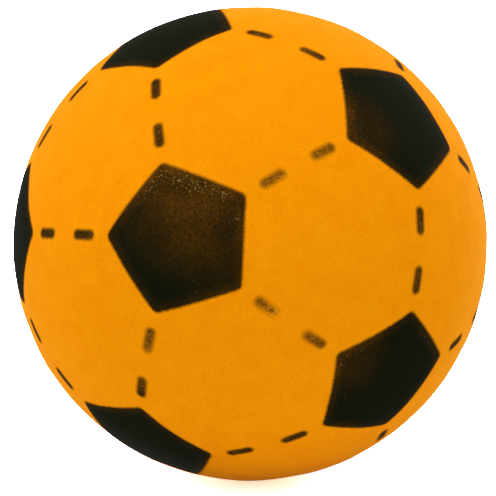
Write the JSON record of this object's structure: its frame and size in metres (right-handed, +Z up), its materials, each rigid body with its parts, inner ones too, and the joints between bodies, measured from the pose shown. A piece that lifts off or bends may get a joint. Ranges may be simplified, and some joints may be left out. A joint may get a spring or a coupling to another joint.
{
  "type": "foam soccer ball",
  "caption": "Soft solid foam ball in orange with a sprayed black soccer pattern: pentagons joined by lines of short dashes. It rests on a small patch where the foam gives.",
  "frame": {"origin": "middle of the flat patch on which the ball rests", "axes": "+Z up through the middle of the ball, -Y towards the side that the picture shows, +X to its right"},
  "size_m": [0.201, 0.2008, 0.1998],
  "materials": {
    "foam": "matte",
    "ink": "matte"
  },
  "bodies": {
    "root": {"foam_body": "foam", "ink_dash_01_1": "ink", "ink_dash_01_2": "ink", "ink_dash_01_3": "ink", "ink_dash_01_4": "ink", "ink_dash_01_5": "ink", "ink_dash_02_1": "ink", "ink_dash_02_2": "ink", "ink_dash_02_3": "ink", "ink_dash_02_4": "ink", "ink_dash_02_5": "ink", "ink_dash_03_1": "ink", "ink_dash_03_2": "ink", "ink_dash_03_3": "ink", "ink_dash_03_4": "ink", "ink_dash_03_5": "ink", "ink_dash_04_1": "ink", "ink_dash_04_2": "ink", "ink_dash_04_3": "ink", "ink_dash_04_4": "ink", "ink_dash_04_5": "ink", "ink_dash_05_1": "ink", "ink_dash_05_2": "ink", "ink_dash_05_3": "ink", "ink_dash_05_4": "ink", "ink_dash_05_5": "ink", "ink_dash_06_1": "ink", "ink_dash_06_2": "ink", "ink_dash_06_3": "ink", "ink_dash_06_4": "ink", "ink_dash_06_5": "ink", "ink_dash_07_1": "ink", "ink_dash_07_2": "ink", "ink_dash_07_3": "ink", "ink_dash_07_4": "ink", "ink_dash_07_5": "ink", "ink_dash_08_1": "ink", "ink_dash_08_2": "ink", "ink_dash_08_3": "ink", "ink_dash_08_4": "ink", "ink_dash_08_5": "ink", "ink_dash_09_1": "ink", "ink_dash_09_2": "ink", "ink_dash_09_3": "ink", "ink_dash_09_4": "ink", "ink_dash_09_5": "ink", "ink_pentagon_01": "ink", "ink_pentagon_02": "ink", "ink_pentagon_03": "ink", "ink_pentagon_04": "ink", "ink_pentagon_05": "ink", "ink_pentagon_06": "ink", "ink_pentagon_07": "ink", "ink_pentagon_08": "ink", "ink_pentagon_09": "ink", "ink_pentagon_10": "ink", "ink_pentagon_11": "ink", "ink_pentagon_12": "ink"}
  },
  "joints": []
}
